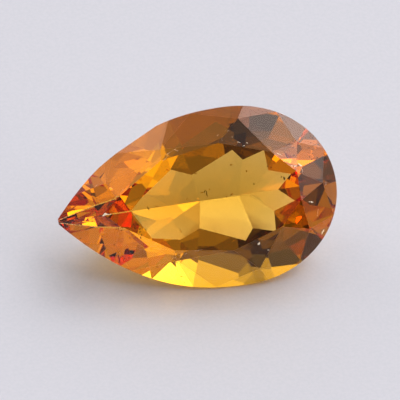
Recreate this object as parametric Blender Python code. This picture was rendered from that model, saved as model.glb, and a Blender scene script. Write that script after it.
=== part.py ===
"""Pear-cut citrine, a loose faceted stone 14 mm long, lying on one of its pavilion facets.

The stone is made as a cutter makes it: a blank with the pear outline is cut by one flat facet after another.
Stone frame: X runs along the axis from the tip to the round head, Y across, Z out of the table, and height 0
is the middle of the girdle. A facet off the axis is cut on both sides of it, and only the tip's facets differ.
"""
import bmesh
import bpy
from math import cos, pi, radians, sin, tan
from mathutils import Matrix, Vector

NAME = "pear_citrine"

# Outline of the girdle. Each side is a curve from the widest place to the tip, and the head is a rounder arc.
LENGTH = 0.0140
HALF_WIDTH = 0.00447
WIDEST_FROM_TIP = 0.00890
SIDE_RUN = 0.00902
SIDE_POWER = 2.32
HEAD_POWER = 2.03
SIDE_POINTS = 36
HEAD_POINTS = 30

# Heights of the stone's layers, and half the thickness of the rough blank
GIRDLE = 0.00025
CROWN = 0.00126
BLANK_HALF_THICKNESS = 0.0060

# Crown mains from the head to the tip: azimuth of the facet in degrees, 0 at the head and 180 at the tip, then
# the corner of the table that it reaches, from the tip and from the axis. The last pair meets in a ridge on the
# axis, which runs from the table down to the tip.
CROWN_MAINS = (
    (24.1, 0.01212, 0.00071),
    (62.3, 0.01099, 0.00188),
    (96.7, 0.00845, 0.00270),
    (121.8, 0.00550, 0.00226),
    (133.9, 0.00303, 0.00069),
)

# The gap before each crown main, from the head: the share of the crown's height at which the two mains part, and
# the azimuth at which their girdle facets meet on the girdle. A star facet fills the gap up to the table.
CROWN_GAPS = (
    (0.553, 0.0),
    (0.549, 42.3),
    (0.480, 79.8),
    (0.756, 103.4),
    (0.488, 125.0),
)

# Pavilion mains from the head towards the tip: azimuth, angle from the girdle, how far below the girdle's edge
# they pass, and the azimuth of the girdle point that the facets on both sides of the main share.
PAVILION_MAINS = (
    (23.3, 39.3, 0.00017, 19.6),
    (60.7, 39.1, 0.00024, 59.9),
    (90.5, 39.0, 0.00030, 85.0),
    (113.5, 39.5, 0.00029, 108.4),
)

# The gap before each pavilion main, from the head: how far below the girdle the two mains part, and the azimuth
# at which the two facets of the gap meet on the girdle.
PAVILION_GAPS = (
    (0.00262, 0.0),
    (0.00255, 39.8),
    (0.00252, 76.8),
    (0.00281, 103.4),
)

# Towards the tip the pavilion closes with three long facets on each side, which differ a little from side to
# side, as in a stone cut by hand. Two of them meet in the keel, which has a corner at each of these points, from
# the tip and below the girdle.
KEEL_AT_LAST_MAIN = (0.00366, 0.002755)
KEEL_BEND = (0.00240, 0.00208)
TIP_GIRDLE_AZIMUTH = 126.8

# The end of the last main towards the tip, on the far side and on the side that the stone lies on: its corner
# beside the keel and its shoulder, both from the tip, from the axis and below the girdle, then where the facet
# next to the shoulder reaches highest into the girdle, as an azimuth and a share of the girdle.
LAST_MAIN_ENDS = (
    ((0.00430, 0.00060, 0.002511), (0.00599, 0.00180, 0.002159), (118.0, 0.38)),
    ((0.00450, 0.00149, 0.001904), (0.00599, 0.00180, 0.002159), (112.0, 0.10)),
)

# Corners that should fall together are joined within this distance.
MEET = 1e-6

CITRINE_COLOUR = (0.86, 0.42, 0.035, 1.0)
CITRINE_ROUGHNESS = 0.03
CITRINE_IOR = 1.55


def outline_point(azimuth, height):
    """Point of the pear outline whose outward direction has this azimuth."""
    if azimuth <= 90.0:
        head = LENGTH - WIDEST_FROM_TIP
        ratio = (tan(radians(azimuth)) * HALF_WIDTH / head) ** (1.0 / (HEAD_POWER - 1.0))
        along = (1.0 + ratio ** HEAD_POWER) ** (-1.0 / HEAD_POWER)
        return Vector((WIDEST_FROM_TIP + head * along, HALF_WIDTH * ratio * along, height))
    slope = tan(radians(azimuth - 90.0))
    back = (slope * SIDE_RUN / (HALF_WIDTH * SIDE_POWER)) ** (1.0 / (SIDE_POWER - 1.0))
    return Vector((WIDEST_FROM_TIP - SIDE_RUN * back, HALF_WIDTH * (1.0 - back ** SIDE_POWER), height))


def outline():
    """Points of one side of the outline, from the middle of the head to the blunt tip."""
    points = []
    head = LENGTH - WIDEST_FROM_TIP
    for i in range(HEAD_POINTS):
        turn = pi / 2 * i / HEAD_POINTS
        along = cos(turn) ** (2.0 / HEAD_POWER)
        across = sin(turn) ** (2.0 / HEAD_POWER)
        points.append((WIDEST_FROM_TIP + head * along, HALF_WIDTH * across))
    for i in range(SIDE_POINTS + 1):
        back = WIDEST_FROM_TIP / SIDE_RUN * i / SIDE_POINTS
        points.append((WIDEST_FROM_TIP - SIDE_RUN * back, HALF_WIDTH * (1.0 - back ** SIDE_POWER)))
    return points


def blank():
    """Rough blank: a flat slab with the pear outline, far thicker than the stone, as a mesh in the stone frame."""
    one_side = outline()
    other_side = [(x, -y) for x, y in reversed(one_side[1:])]
    curve = bpy.data.curves.new("blank_outline", "CURVE")
    curve.dimensions = "2D"
    curve.fill_mode = "BOTH"
    curve.extrude = BLANK_HALF_THICKNESS
    spline = curve.splines.new("POLY")
    spline.points.add(len(one_side) + len(other_side) - 1)
    for point, (x, y) in zip(spline.points, one_side + other_side):
        point.co = (x, y, 0.0, 1.0)
    spline.use_cyclic_u = True
    holder = bpy.data.objects.new("blank_outline", curve)
    bpy.context.scene.collection.objects.link(holder)
    evaluated = holder.evaluated_get(bpy.context.evaluated_depsgraph_get())
    mesh = bpy.data.meshes.new_from_object(evaluated)
    bpy.data.objects.remove(holder)
    return mesh


def plane_through(a, b, c):
    """Plane through three points as its outward unit normal and one point."""
    normal = (b - a).cross(c - a).normalized()
    inside = Vector((WIDEST_FROM_TIP, 0.0, 0.0))
    if normal.dot(inside - a) > 0.0:
        normal.negate()
    return normal, a


def flipped(vector):
    """The same point or direction on the other side of the stone's axis."""
    return Vector((vector.x, -vector.y, vector.z))


def mirrored(plane):
    """The same plane on the other side of the stone's axis."""
    return flipped(plane[0]), flipped(plane[1])


def parting_point(first, second, height):
    """Point at a given height on the edge in which two planes meet."""
    rows = Matrix((first[0], second[0], (0.0, 0.0, 1.0)))
    return rows.inverted() @ Vector((first[0].dot(first[1]), second[0].dot(second[1]), height))


def crown_facets():
    """Planes above the girdle: mains, stars and girdle facets of one side."""
    girdle = GIRDLE / 2
    table = girdle + CROWN
    facets = []
    stations = []
    for azimuth, from_tip, from_axis in CROWN_MAINS:
        foot = outline_point(azimuth, girdle)
        corner = Vector((from_tip, from_axis, table))
        level = Vector((-sin(radians(azimuth)), cos(radians(azimuth)), 0.0)) * CROWN
        plane = plane_through(foot, foot + level, corner)
        stations.append((plane, foot, corner))
        facets.append(plane)
    plane, foot, corner = stations[0]
    before = (mirrored(plane), flipped(foot), flipped(corner))
    for (share, azimuth), station in zip(CROWN_GAPS, stations):
        plane, foot, corner = station
        parting = parting_point(before[0], plane, girdle + CROWN * share)
        middle = outline_point(azimuth, girdle)
        facets.append(plane_through(before[2], corner, parting))
        facets.append(plane_through(parting, before[1], middle))
        facets.append(plane_through(parting, middle, foot))
        before = station
    return facets


def pavilion_facets():
    """Planes below the girdle on one side, and with them the facet that the stone lies on."""
    girdle = -GIRDLE / 2
    facets = []
    stations = []
    for azimuth, angle, below, shared in PAVILION_MAINS:
        turn, tilt = radians(azimuth), radians(angle)
        normal = Vector((sin(tilt) * cos(turn), sin(tilt) * sin(turn), -cos(tilt)))
        plane = (normal, outline_point(azimuth, girdle - below))
        stations.append((plane, outline_point(shared, girdle)))
        facets.append(plane)
    plane, foot = stations[0]
    before = (mirrored(plane), flipped(foot))
    resting = None
    for (depth, azimuth), station in zip(PAVILION_GAPS, stations):
        plane, foot = station
        parting = parting_point(before[0], plane, girdle - depth)
        middle = outline_point(azimuth, girdle)
        resting = plane_through(parting, before[1], middle)
        facets.append(resting)
        facets.append(plane_through(parting, middle, foot))
        before = station
    return facets, resting


def tip_facets():
    """Planes that close the pavilion towards the tip, on both sides."""
    girdle = -GIRDLE / 2
    tip = Vector((0.0, 0.0, girdle))
    tip_side = outline_point(TIP_GIRDLE_AZIMUTH, girdle)
    keel_end = Vector((KEEL_AT_LAST_MAIN[0], 0.0, girdle - KEEL_AT_LAST_MAIN[1]))
    keel_bend = Vector((KEEL_BEND[0], 0.0, girdle - KEEL_BEND[1]))
    sides = []
    for *corners, (azimuth, share) in LAST_MAIN_ENDS:
        corner, shoulder = (Vector((x, y, girdle - below)) for x, y, below in corners)
        reach = outline_point(azimuth, girdle + GIRDLE * share)
        sides.append([
            plane_through(corner, shoulder, reach),
            plane_through(corner, keel_end, keel_bend),
            plane_through(keel_bend, tip_side, tip),
        ])
    far, near = sides
    return far + [mirrored(plane) for plane in near]


def cut(work, plane):
    """Cut away everything outside a plane and close the stone with the new facet."""
    normal, point = plane
    if max(normal.dot(vert.co - point) for vert in work.verts) < MEET:
        return
    geometry = list(work.verts) + list(work.edges) + list(work.faces)
    result = bmesh.ops.bisect_plane(
        work, geom=geometry, dist=MEET, plane_co=point, plane_no=normal, clear_outer=True
    )
    rim = [part for part in result["geom_cut"] if isinstance(part, bmesh.types.BMEdge)]
    bmesh.ops.contextual_create(work, geom=rim)


def stone_mesh():
    """The cut stone in its own frame, and the direction that its resting facet faces."""
    mesh = blank()
    work = bmesh.new()
    work.from_mesh(mesh)
    bmesh.ops.remove_doubles(work, verts=work.verts, dist=MEET)
    table = (Vector((0.0, 0.0, 1.0)), Vector((0.0, 0.0, GIRDLE / 2 + CROWN)))
    below, resting = pavilion_facets()
    cut(work, table)
    for plane in below + crown_facets():
        cut(work, plane)
        cut(work, mirrored(plane))
    for plane in tip_facets():
        cut(work, plane)
    bmesh.ops.remove_doubles(work, verts=work.verts, dist=MEET)
    bmesh.ops.recalc_face_normals(work, faces=work.faces)
    work.to_mesh(mesh)
    work.free()
    mesh.name = NAME
    return mesh, mirrored(resting)[0]


def resting_rotation(down):
    """Rotation that turns a facet's outward direction down and keeps the stone's axis along X."""
    up = -down
    along = (Vector((1.0, 0.0, 0.0)) - up * up.x).normalized()
    return Matrix((along, up.cross(along), up))


def citrine_material():
    """Clear orange-yellow quartz."""
    material = bpy.data.materials.new("citrine")
    material.use_nodes = True
    shader = material.node_tree.nodes["Principled BSDF"]
    shader.inputs["Base Color"].default_value = CITRINE_COLOUR
    shader.inputs["Roughness"].default_value = CITRINE_ROUGHNESS
    shader.inputs["Metallic"].default_value = 0.0
    shader.inputs["IOR"].default_value = CITRINE_IOR
    shader.inputs["Transmission Weight"].default_value = 1.0
    material.diffuse_color = CITRINE_COLOUR
    return material


def main():
    """Build the stone and lay it on its resting facet with the middle of its footprint box at the origin."""
    for thing in list(bpy.data.objects):
        bpy.data.objects.remove(thing)
    collection = bpy.data.collections.new(NAME)
    bpy.context.scene.collection.children.link(collection)
    mesh, down = stone_mesh()
    mesh.materials.clear()
    mesh.materials.append(citrine_material())
    stone = bpy.data.objects.new(NAME, mesh)
    collection.objects.link(stone)
    turn = resting_rotation(down)
    corners = [turn @ vert.co for vert in mesh.vertices]
    low = Vector([min(corner[i] for corner in corners) for i in range(3)])
    high = Vector([max(corner[i] for corner in corners) for i in range(3)])
    stone.rotation_euler = turn.to_euler()
    stone.location = (-(low.x + high.x) / 2, -(low.y + high.y) / 2, -low.z)


main()
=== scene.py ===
"""A loose pear-cut citrine lying on one of its pavilion facets, on a pale floor."""

import math
import random

import bmesh
import bpy
from mathutils import Matrix, Vector
from mathutils.bvhtree import BVHTree


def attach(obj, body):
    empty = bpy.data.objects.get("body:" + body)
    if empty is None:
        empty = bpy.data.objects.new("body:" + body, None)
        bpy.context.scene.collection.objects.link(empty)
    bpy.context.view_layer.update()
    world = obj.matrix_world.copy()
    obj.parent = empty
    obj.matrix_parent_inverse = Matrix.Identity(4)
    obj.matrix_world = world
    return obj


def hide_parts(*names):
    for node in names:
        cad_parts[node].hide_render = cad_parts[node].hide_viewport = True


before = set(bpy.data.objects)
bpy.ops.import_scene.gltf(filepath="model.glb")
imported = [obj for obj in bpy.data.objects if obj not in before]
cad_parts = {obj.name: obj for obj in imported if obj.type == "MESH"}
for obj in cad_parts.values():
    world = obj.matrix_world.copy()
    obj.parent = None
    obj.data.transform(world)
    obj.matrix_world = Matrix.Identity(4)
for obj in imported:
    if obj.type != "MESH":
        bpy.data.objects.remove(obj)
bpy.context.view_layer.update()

MM = 0.001

# The stone's own frame, as the CAD lays it down: X runs from the tip to the head, Y across,
# Z is the table's normal, and z = 0 is halfway up the girdle.
LYING = Matrix((
    (0.9985044, -0.0380714, -0.0392369, -0.0069867),
    (0.0, 0.7176851, -0.6963677, -0.0000208),
    (0.0546714, 0.6953263, 0.7166117, 0.0026653),
    (0.0, 0.0, 0.0, 1.0),
))

# The photograph's view: 20.04 px a millimetre, the axis rising 8.4 degrees to the right.
PIXELS_A_MM = 20.04
PICTURE_PIXELS = 400
AXIS_RISE = math.radians(8.4)
VIEW_CENTRE = (7.15, 0.04, 0.0)  # mm, in the stone's frame
TOWARDS_CAMERA = (-0.012, -0.008, 1.0)  # in the stone's frame
CAMERA_DISTANCE = 0.45  # m
TIP_PIXEL = (58.6, 222.8)
TIP_DROP = 1.1  # px from the tip's own pixel to the stone's axis


def in_world(x, y, z):
    """A point of the stone's frame, in millimetres, as a world point in metres."""
    return LYING @ Vector((x * MM, y * MM, z * MM))


def turned(x, y, z):
    """A direction of the stone's frame as a world direction."""
    return (LYING.to_3x3() @ Vector((x, y, z))).normalized()


# ---------------------------------------------------------------- colours and nodes


def linear(hex_colour):
    """An sRGB hex colour as linear RGBA."""
    values = [int(hex_colour[i:i + 2], 16) / 255 for i in (1, 3, 5)]
    return (
        *(v / 12.92 if v <= 0.04045 else ((v + 0.055) / 1.055) ** 2.4 for v in values), 1.0,
    )


def node(tree, kind, links=(), **settings):
    """A node with its settings; links are (its input, the socket that feeds it)."""
    made = tree.nodes.new(kind)
    for name, value in settings.items():
        if name.startswith("in_"):
            key = name[3:]
            made.inputs[int(key) if key.isdigit() else key.replace("_", " ")].default_value = value
        else:
            setattr(made, name, value)
    for place, socket in links:
        tree.links.new(socket, made.inputs[place])
    return made


def empty_material(name):
    material = bpy.data.materials.new(name)
    material.use_nodes = True
    material.node_tree.nodes.clear()
    return material


# Citrine is quartz coloured by iron: IOR 1.55, and its amber comes from depth, because blue is
# taken out within a few millimetres. A metre absorbs the density times (1 - what passes). A part
# of the amber is put at the surface, which keeps thin places golden.
QUARTZ_IOR = 1.55
AMBER_DENSITY = 500.0
AMBER_PASSES = (0.976, 0.836, 0.040, 1.0)
AMBER_SKIN = (1.0, 0.80, 0.68, 1.0)
# Handling leaves smears about a millimetre across, which dull the polish in places: the haze is
# the noise times the gain, plus the offset, and never below 0.
SMEAR_MM = 1.1
SMEAR_GAIN, SMEAR_OFFSET = 0.080, -0.040


def citrine():
    """Cut citrine: clear and strongly refracting, with an amber body and frosted rubbed edges."""
    material = empty_material("cut_citrine")
    tree = material.node_tree
    frost = node(tree, "ShaderNodeAttribute", attribute_name="frost")
    place = node(tree, "ShaderNodeTexCoord")
    smears = node(
        tree, "ShaderNodeTexNoise", [("Vector", place.outputs["Object"])],
        in_Scale=1 / (SMEAR_MM * MM), in_Detail=4.0,
    )
    handled = node(
        tree, "ShaderNodeMath", [(0, smears.outputs["Fac"])], operation="MULTIPLY_ADD",
        use_clamp=True, in_1=SMEAR_GAIN, in_2=SMEAR_OFFSET,
    )
    haze = node(
        tree, "ShaderNodeMath", [(0, frost.outputs["Fac"]), (1, handled.outputs[0])],
        operation="ADD",
    )
    surface = node(
        tree, "ShaderNodeBsdfPrincipled", [("Roughness", haze.outputs[0])],
        in_Base_Color=AMBER_SKIN, in_IOR=QUARTZ_IOR, in_Transmission_Weight=1.0,
    )
    depth = node(
        tree, "ShaderNodeVolumeAbsorption", in_Color=AMBER_PASSES, in_Density=AMBER_DENSITY,
    )
    node(
        tree, "ShaderNodeOutputMaterial",
        [("Surface", surface.outputs[0]), ("Volume", depth.outputs[0])],
    )
    return material


# ---------------------------------------------------------------- the stone

SAME_POINT = 1e-7  # m
FLAT = math.radians(0.4)  # faces that differ less than this are one facet
EDGE_WEAR = 0.018  # mm, the rub on every facet edge
KEEL_WEAR = 0.022  # mm, the rub on the keel next to the tip
KEEL_WEAR_END = 3.71  # mm from the tip
ON_AXIS, ON_KEEL = 0.01, 0.02  # mm that an end of a keel edge may lie beside or above the keel
GIRDLE_LEAN = 0.05  # the girdle's normals lean no more than this out of its plane
FROST = {"facet": 0.0, "edge": 0.3, "girdle": 0.25, "keel": 0.55}

# The keel from the tip: x and z in the stone's frame, in millimetres.
KEEL = ((0.0, -0.125), (2.4, -2.205), (3.66, -2.88), (7.15, -4.03))


def keel_height(x):
    """The keel's z at a distance from the tip, both in millimetres."""
    for (x0, z0), (x1, z1) in zip(KEEL, KEEL[1:]):
        if x <= x1:
            return z0 + (z1 - z0) * (x - x0) / (x1 - x0)
    return KEEL[-1][1]


def new_piece(name, mesh, material):
    """A piece of the stone from a finished mesh."""
    mesh.materials.append(material)
    piece = bpy.data.objects.new(name, mesh)
    bpy.context.scene.collection.objects.link(piece)
    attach(piece, "root")
    return piece


def rub(work, edges, width):
    """Bevels edges to a narrow flat and returns its faces."""
    return bmesh.ops.bevel(
        work, geom=edges, offset=width * MM, offset_type="OFFSET", segments=1,
        affect="EDGES", clamp_overlap=True,
    )["faces"]


def stone():
    """The CAD stone with its facets whole again, its edges rubbed and its keel worn by the tip."""
    mesh = bpy.data.meshes.new("citrine_stone")
    work = bmesh.new()
    work.from_mesh(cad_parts["pear_citrine"].data)
    bmesh.ops.remove_doubles(work, verts=work.verts, dist=SAME_POINT)
    bmesh.ops.dissolve_limit(work, angle_limit=FLAT, verts=work.verts, edges=work.edges)
    to_stone = LYING.inverted()
    table_normal = LYING.to_3x3() @ Vector((0, 0, 1))
    frost = work.faces.layers.float.new("frost")
    for face in work.faces:
        face.smooth = False
        face[frost] = FROST["girdle" if abs(face.normal @ table_normal) < GIRDLE_LEAN else "facet"]
    keel_edges = []
    for edge in work.edges:
        ends = [to_stone @ v.co / MM for v in edge.verts]
        on_keel = all(
            abs(p.y) < ON_AXIS and p.x < KEEL_WEAR_END
            and abs(p.z - keel_height(p.x)) < ON_KEEL
            for p in ends
        )
        if on_keel:
            keel_edges.append(edge)
    for face in rub(work, keel_edges, KEEL_WEAR):
        face[frost] = FROST["keel"]
    for face in rub(work, [e for e in work.edges if e.calc_face_angle(0.0) > FLAT], EDGE_WEAR):
        face[frost] = max(face[frost], FROST["edge"])
    bmesh.ops.recalc_face_normals(work, faces=work.faces)
    work.to_mesh(mesh)
    work.free()
    piece = new_piece("citrine_stone", mesh, citrine())
    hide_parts("pear_citrine")
    return piece


the_stone = stone()

# ---------------------------------------------------------------- marks on and in the stone

skin = BVHTree.FromObject(the_stone, bpy.context.evaluated_depsgraph_get())
SIGHT = turned(*TOWARDS_CAMERA)  # from the stone to the camera
SIGHT_START = 10  # mm above mid-girdle, clear of the stone


def photo_point(px, py, depth=0.0):
    """Where the photograph's line of sight meets the stone, and depth mm further on inside it."""
    u = math.cos(AXIS_RISE) * (px - TIP_PIXEL[0]) - math.sin(AXIS_RISE) * (py - TIP_PIXEL[1])
    v = math.sin(AXIS_RISE) * (px - TIP_PIXEL[0]) + math.cos(AXIS_RISE) * (py - TIP_PIXEL[1])
    start = in_world(u / PIXELS_A_MM, -(v + TIP_DROP) / PIXELS_A_MM, 0) + SIGHT * SIGHT_START * MM
    place, normal, *_ = skin.ray_cast(start, -SIGHT)
    if depth:
        cosine = normal @ SIGHT
        inner = 1 / QUARTZ_IOR
        bend = inner * cosine - math.sqrt(1 - inner * inner * (1 - cosine * cosine))
        place = place + (-SIGHT * inner + normal * bend).normalized() * depth * MM
    return place, normal


LEAST_LUMP, LUMP_SPREAD = 0.65, 0.7  # a crumb's corner, as a share of its size


def fleck(work, place, along, across, sizes, rng):
    """A crumb with uneven sides: sizes are its half length, half width and half height in mm."""
    along = along.normalized()
    height = along.cross(across).normalized()
    across = height.cross(along)
    for v in bmesh.ops.create_icosphere(work, subdivisions=1, radius=1.0)["verts"]:
        lump = LEAST_LUMP + LUMP_SPREAD * rng.random()
        x, y, z = (c * size * MM * lump for c, size in zip(v.co, sizes))
        v.co = place + along * x + across * y + height * z


def crumb_piece(name, material, rows, seed):
    """rows are (place, along, across, sizes) in the world; all their crumbs are one piece."""
    rng = random.Random(seed)
    work = bmesh.new()
    for place, along, across, sizes in rows:
        fleck(work, place, along, across, sizes, rng)
    mesh = bpy.data.meshes.new(name)
    bmesh.ops.recalc_face_normals(work, faces=work.faces)
    work.to_mesh(mesh)
    work.free()
    return new_piece(name, mesh, material)


RAMP_STOPS = (0.35, 0.65)  # noise keeps mostly between these


def gritty(name, grain_mm, dark, light, roughness, glow=0.0):
    """A dull stone crumb whose tone changes from grain to grain; glow is painted light, an
    emission in its light tone.
    """
    material = empty_material(name)
    tree = material.node_tree
    place = node(tree, "ShaderNodeTexCoord")
    grit = node(
        tree, "ShaderNodeTexNoise", [("Vector", place.outputs["Object"])],
        in_Scale=1 / (grain_mm * MM), in_Detail=3.0,
    )
    tone = node(tree, "ShaderNodeValToRGB", [("Fac", grit.outputs["Fac"])])
    for stop, colour, position in zip(tone.color_ramp.elements, (dark, light), RAMP_STOPS):
        stop.color, stop.position = linear(colour), position
    # Any emission here is painted light, a glow with no lamp behind it.
    surface = node(
        tree, "ShaderNodeBsdfPrincipled", [("Base Color", tone.outputs["Color"])],
        in_Roughness=roughness, in_IOR=QUARTZ_IOR, in_Emission_Color=linear(light),
        in_Emission_Strength=glow,
    )
    node(tree, "ShaderNodeOutputMaterial", [("Surface", surface.outputs[0])])
    return material


# Bruised quartz is a mesh of tiny cracks: chalky, nearly white. On top of that a glow is painted
# in: a faint
#  emission that stands in for the light its cracks gather from all round and scatter inside the
#  stone.
bruised_quartz_painted_glow = gritty(
    "bruised_quartz_painted_glow", grain_mm=0.03, dark="#e8cf9e", light="#fff6e4", roughness=0.5, glow=0.32,
)
# Iron-stained specks sealed in the quartz: dull, dark brown and uneven.
iron_speck = gritty(
    "iron_stained_speck", grain_mm=0.04, dark="#2a1804", light="#5e3c10", roughness=0.7,
)
# Fainter veils and films inside, only a little darker than the stone round them.
brown_veil = gritty(
    "brown_veil", grain_mm=0.05, dark="#8a5f16", light="#b98525", roughness=0.7,
)


def in_picture(angle):
    """A direction in the picture plane, in degrees up from the right."""
    a = math.radians(angle) - AXIS_RISE
    return turned(math.cos(a), math.sin(a), 0.0)


# Specks inside: picture place, depth under the surface (mm), angle in the picture, half length
# and half width (mm).
DARK_SPECKS = (
    (206.8, 194.0, 1.2, 100, 0.17, 0.025), (204.6, 191.5, 1.2, 62, 0.10, 0.02),
    (254.0, 184.0, 1.0, 100, 0.06, 0.03), (284.3, 178.5, 0.5, 110, 0.09, 0.045),
    (281.3, 177.0, 0.5, 75, 0.05, 0.025), (267.5, 166.5, 0.6, 160, 0.06, 0.025),
    (271.0, 167.5, 0.6, 10, 0.04, 0.02), (148.5, 208.5, 0.8, 125, 0.11, 0.028),
    (132.5, 235.0, 0.5, 160, 0.06, 0.03), (137.5, 224.5, 0.5, 0, 0.07, 0.025),
    (140.0, 229.0, 0.6, 70, 0.06, 0.04), (142.0, 235.5, 0.6, 100, 0.10, 0.03),
    (139.0, 234.5, 0.6, 50, 0.05, 0.03), (135.5, 228.0, 0.6, 10, 0.05, 0.025),
    (145.5, 229.5, 0.5, 140, 0.07, 0.025),
)
FAINT_SPECKS = (
    (231.0, 165.0, 0.9, 20, 0.07, 0.03), (246.5, 171.0, 1.4, 120, 0.06, 0.025),
    (231.5, 194.5, 1.8, 35, 0.10, 0.025), (226.5, 196.5, 1.9, 120, 0.05, 0.025),
    (196.0, 173.5, 1.1, 10, 0.07, 0.025), (157.0, 206.3, 0.7, 5, 0.11, 0.018),
    (181.0, 231.0, 1.0, 80, 0.08, 0.018), (177.0, 269.0, 0.3, 140, 0.06, 0.02),
    (181.5, 276.5, 0.3, 170, 0.06, 0.03), (184.5, 282.5, 0.3, 150, 0.05, 0.025),
    (202.0, 192.5, 1.3, 20, 0.08, 0.02), (209.5, 189.5, 1.3, 80, 0.06, 0.02),
    (250.0, 196.0, 1.6, 150, 0.05, 0.02), (187.0, 199.0, 1.5, 60, 0.05, 0.02),
)

# Nicks in the surface: picture place, angle in the picture, half length and half width (mm), and
# how many crumbs each is broken into.
NICKS = (
    (105.3, 214.4, 10, 0.10, 0.045, 9), (109.5, 214.3, 5, 0.08, 0.02, 5),
    (171.0, 152.0, 35, 0.30, 0.012, 8), (166.0, 158.0, 55, 0.20, 0.012, 6),
    (176.0, 150.5, 160, 0.15, 0.012, 4), (279.5, 154.5, 150, 0.12, 0.022, 5),
    (293.5, 166.0, 10, 0.13, 0.025, 6), (299.5, 165.3, 160, 0.09, 0.03, 5),
    (301.9, 169.5, 95, 0.15, 0.018, 6), (310.5, 202.0, 165, 0.11, 0.025, 6),
    (317.5, 213.0, 85, 0.19, 0.012, 6), (302.0, 198.0, 100, 0.12, 0.010, 4),
    (258.8, 243.5, 60, 0.06, 0.03, 5), (268.0, 250.0, 170, 0.06, 0.015, 3),
    (198.5, 250.0, 12, 0.20, 0.010, 7), (180.0, 255.5, 24, 0.40, 0.009, 12),
    (122.0, 191.0, 45, 0.16, 0.010, 5), (112.0, 188.0, 160, 0.12, 0.010, 4),
    (228.0, 131.0, 0, 0.14, 0.010, 4), (239.0, 142.5, 160, 0.08, 0.016, 4),
    (243.5, 146.0, 30, 0.07, 0.018, 4), (247.0, 143.0, 140, 0.06, 0.014, 3),
    (218.0, 135.0, 45, 0.06, 0.010, 3), (222.0, 140.0, 100, 0.05, 0.010, 2),
    (232.0, 137.0, 20, 0.05, 0.010, 2), (326.0, 183.5, 100, 0.10, 0.010, 4),
    (96.0, 186.0, 40, 0.10, 0.010, 4), (250.0, 128.0, 160, 0.05, 0.009, 2),
    (323.0, 232.0, 60, 0.13, 0.030, 7),
)
NICK_SEED = 11
NICK_RISE = 0.006  # mm, half the height of a nick's crumbs, which sit half in the surface
NICK_DRIFT = 0.5  # how far its crumbs stray sideways, as a share of its half width
LEAST_CRUMB, CRUMB_SPREAD = 0.45, 0.6  # their half width, as shares of the nick's
CRUMB_STRETCH = 1.2  # their least length, times their width


def speck_rows(table):
    """Crumbs for the specks of a table."""
    rows = []
    for px, py, depth, angle, half_length, half_width in table:
        way = in_picture(angle)
        place, _ = photo_point(px, py, depth)
        rows.append((place, way, SIGHT.cross(way), (half_length, half_width, half_width)))
    return rows


def nick_rows():
    """Crumbs along each nick."""
    rng = random.Random(NICK_SEED)
    rows = []
    for px, py, angle, half_length, half_width, crumbs in NICKS:
        place, normal = photo_point(px, py)
        along = in_picture(angle)
        along = (along - normal * (along @ normal)).normalized()
        across = normal.cross(along)
        for i in range(crumbs):
            slide = half_length * (2 * (i + rng.random()) / crumbs - 1) * MM
            drift = half_width * rng.gauss(0, NICK_DRIFT) * MM
            size = half_width * (LEAST_CRUMB + CRUMB_SPREAD * rng.random())
            spot = place + along * slide + across * drift
            length = size * (CRUMB_STRETCH + rng.random())
            rows.append((spot, along, across, (length, size, NICK_RISE)))
    return rows


# The worn keel: (from, to, crumbs, smallest and largest half size), all in mm from the tip.
KEEL_STRETCHES = (
    (0.20, 1.3, 44, 0.008, 0.024), (1.3, 2.15, 44, 0.008, 0.028), (2.18, 2.40, 16, 0.014, 0.044),
    (2.40, 3.00, 40, 0.010, 0.028), (3.00, 3.70, 56, 0.010, 0.030),
)
KEEL_SEED = 7
KEEL_DRIFT = 0.012  # mm that its crumbs stray to each side
KEEL_SINK = 0.010  # mm that they sit inside the keel
KEEL_STEP = 0.1  # mm over which the keel's slope is taken


def keel_rows():
    """Crumbs along the worn keel."""
    rng = random.Random(KEEL_SEED)
    rows = []
    for start, end, crumbs, small, large in KEEL_STRETCHES:
        for _ in range(crumbs):
            x = start + (end - start) * rng.random()
            size = small + (large - small) * rng.random() ** 2
            downhill = turned(KEEL_STEP, 0, keel_height(x + KEEL_STEP) - keel_height(x))
            place = in_world(x, rng.gauss(0, KEEL_DRIFT), keel_height(x) + KEEL_SINK)
            sizes = (size * (1 + rng.random()), size, size)
            rows.append((place, downhill, turned(0, 1, 0), sizes))
    return rows


crumb_piece("dark_specks", iron_speck, speck_rows(DARK_SPECKS), seed=1)
crumb_piece("faint_specks", brown_veil, speck_rows(FAINT_SPECKS), seed=2)
# The nicks and the worn keel are chalky bruised quartz with a faint painted glow, a painted
# highlight on top of real wear.
crumb_piece("surface_nicks", bruised_quartz_painted_glow, nick_rows(), seed=3)
crumb_piece("worn_keel", bruised_quartz_painted_glow, keel_rows(), seed=4)

# ---------------------------------------------------------------- floor, light and camera

HALF_FLOOR = 1.5  # m
FLOOR_LEVEL = -0.03 * MM  # a hair of air under the resting facet, as on any real card
CORNERS = ((-1, -1), (1, -1), (1, 1), (-1, 1))
# Card with a satin sheen: pale and faintly violet, with a grain as coarse as the camera shows it.
CARD_TONES = ("#dedee5", "#e2e1e8")
CARD_ROUGHNESS = 0.24
GRAIN_MM, GRAIN_RISE_MM, GRAIN_STRENGTH = 0.18, 0.03, 0.12


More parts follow.
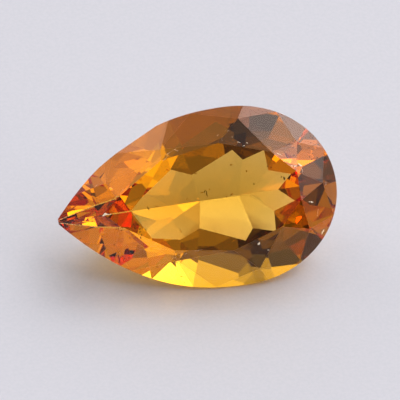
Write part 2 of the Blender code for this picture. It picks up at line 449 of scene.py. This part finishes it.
def satin_card():
    """The floor's pale card."""
    material = empty_material("pale_card")
    tree = material.node_tree
    place = node(tree, "ShaderNodeTexCoord")
    fibres = node(
        tree, "ShaderNodeTexNoise", [("Vector", place.outputs["Object"])],
        in_Scale=1 / (GRAIN_MM * MM), in_Detail=3.0,
    )
    tone = node(tree, "ShaderNodeValToRGB", [("Fac", fibres.outputs["Fac"])])
    for stop, colour, position in zip(tone.color_ramp.elements, CARD_TONES, RAMP_STOPS):
        stop.color, stop.position = linear(colour), position
    relief = node(
        tree, "ShaderNodeBump", [("Height", fibres.outputs["Fac"])],
        in_Strength=GRAIN_STRENGTH, in_Distance=GRAIN_RISE_MM * MM,
    )
    card = node(
        tree, "ShaderNodeBsdfPrincipled",
        [("Base Color", tone.outputs["Color"]), ("Normal", relief.outputs["Normal"])],
        in_Roughness=CARD_ROUGHNESS,
    )
    node(tree, "ShaderNodeOutputMaterial", [("Surface", card.outputs[0])])
    return material


floor_mesh = bpy.data.meshes.new("pale_floor")
floor_mesh.from_pydata(
    [(x * HALF_FLOOR, y * HALF_FLOOR, FLOOR_LEVEL) for x, y in CORNERS], [], [(0, 1, 2, 3)],
)
floor_mesh.materials.append(satin_card())
floor = bpy.data.objects.new("pale_floor", floor_mesh)
bpy.context.scene.collection.objects.link(floor)

# Soft boxes with feathered edges, all round the stone: elevation, azimuth (0 is to the right, 90
# away from the camera), strength, and how tight each is.
ROOM_GLOW = 0.005
GLOWS = (
    (26, 21, 2.87, 29), (21, 341, 1.35, 17), (56, 9, 3.70, 28), (56, 134, 0.81, 25),
    (-1, 93, 4.30, 22), (47, 291, 0.30, 22), (41, 55, 4.35, 20), (29, 130, 2.80, 24),
    (43, 350, 0.69, 26), (27, 204, 0.43, 20), (30, 325, 0.12, 18), (4, 112, 0.39, 13),
    (44, 26, 1.60, 60),
)
LIGHT_TINT = "#fefdff"

world = bpy.data.worlds.new("soft_studio")
bpy.context.scene.world = world
world.use_nodes = True
air = world.node_tree
air.nodes.clear()
way = node(air, "ShaderNodeTexCoord").outputs["Generated"]
so_far = []  # the first glow is added to the room's own
for elevation, azimuth, strength, tightness in GLOWS:
    e, a = math.radians(elevation), math.radians(azimuth)
    towards = (math.cos(e) * math.cos(a), math.cos(e) * math.sin(a), math.sin(e))
    facing = node(air, "ShaderNodeVectorMath", [(0, way)], operation="DOT_PRODUCT", in_1=towards)
    fall = node(
        air, "ShaderNodeMath", [(0, facing.outputs["Value"])], operation="MULTIPLY_ADD",
        in_1=float(tightness), in_2=math.log(strength) - tightness,
    )
    glow = node(air, "ShaderNodeMath", [(0, fall.outputs[0])], operation="EXPONENT")
    total = node(
        air, "ShaderNodeMath", [(0, glow.outputs[0]), *so_far], operation="ADD", in_1=ROOM_GLOW,
    )
    so_far = [(1, total.outputs[0])]
sky = node(
    air, "ShaderNodeBackground", [("Strength", total.outputs[0])], in_Color=linear(LIGHT_TINT),
)
node(air, "ShaderNodeOutputWorld", [("Surface", sky.outputs[0])])

FILM_WIDTH = 36.0  # mm
NEAR_CLIP, FAR_CLIP = 0.01, 10.0  # m

level = turned(math.cos(AXIS_RISE), -math.sin(AXIS_RISE), 0.0)
up = SIGHT.cross(level).normalized()
right = up.cross(SIGHT).normalized()
camera_data = bpy.data.cameras.new("camera")
camera = bpy.data.objects.new("camera", camera_data)
bpy.context.scene.collection.objects.link(camera)
spot = in_world(*VIEW_CENTRE) + SIGHT * CAMERA_DISTANCE
camera.matrix_world = Matrix((
    (right.x, up.x, SIGHT.x, spot.x),
    (right.y, up.y, SIGHT.y, spot.y),
    (right.z, up.z, SIGHT.z, spot.z),
    (0, 0, 0, 1),
))
camera_data.sensor_width = FILM_WIDTH
camera_data.lens = FILM_WIDTH * CAMERA_DISTANCE / (PICTURE_PIXELS / PIXELS_A_MM * MM)
camera_data.clip_start, camera_data.clip_end = NEAR_CLIP, FAR_CLIP
bpy.context.scene.camera = camera

# Light turns back many times inside a cut stone before it leaves.
INNER_TURNS, GLOSS_TURNS, BRIGHTEST_FLASH = 32, 16, 4.0

scene = bpy.context.scene
scene.view_settings.view_transform = "Standard"
scene.cycles.max_bounces = INNER_TURNS
scene.cycles.transmission_bounces = INNER_TURNS
scene.cycles.glossy_bounces = GLOSS_TURNS
scene.cycles.sample_clamp_indirect = BRIGHTEST_FLASH
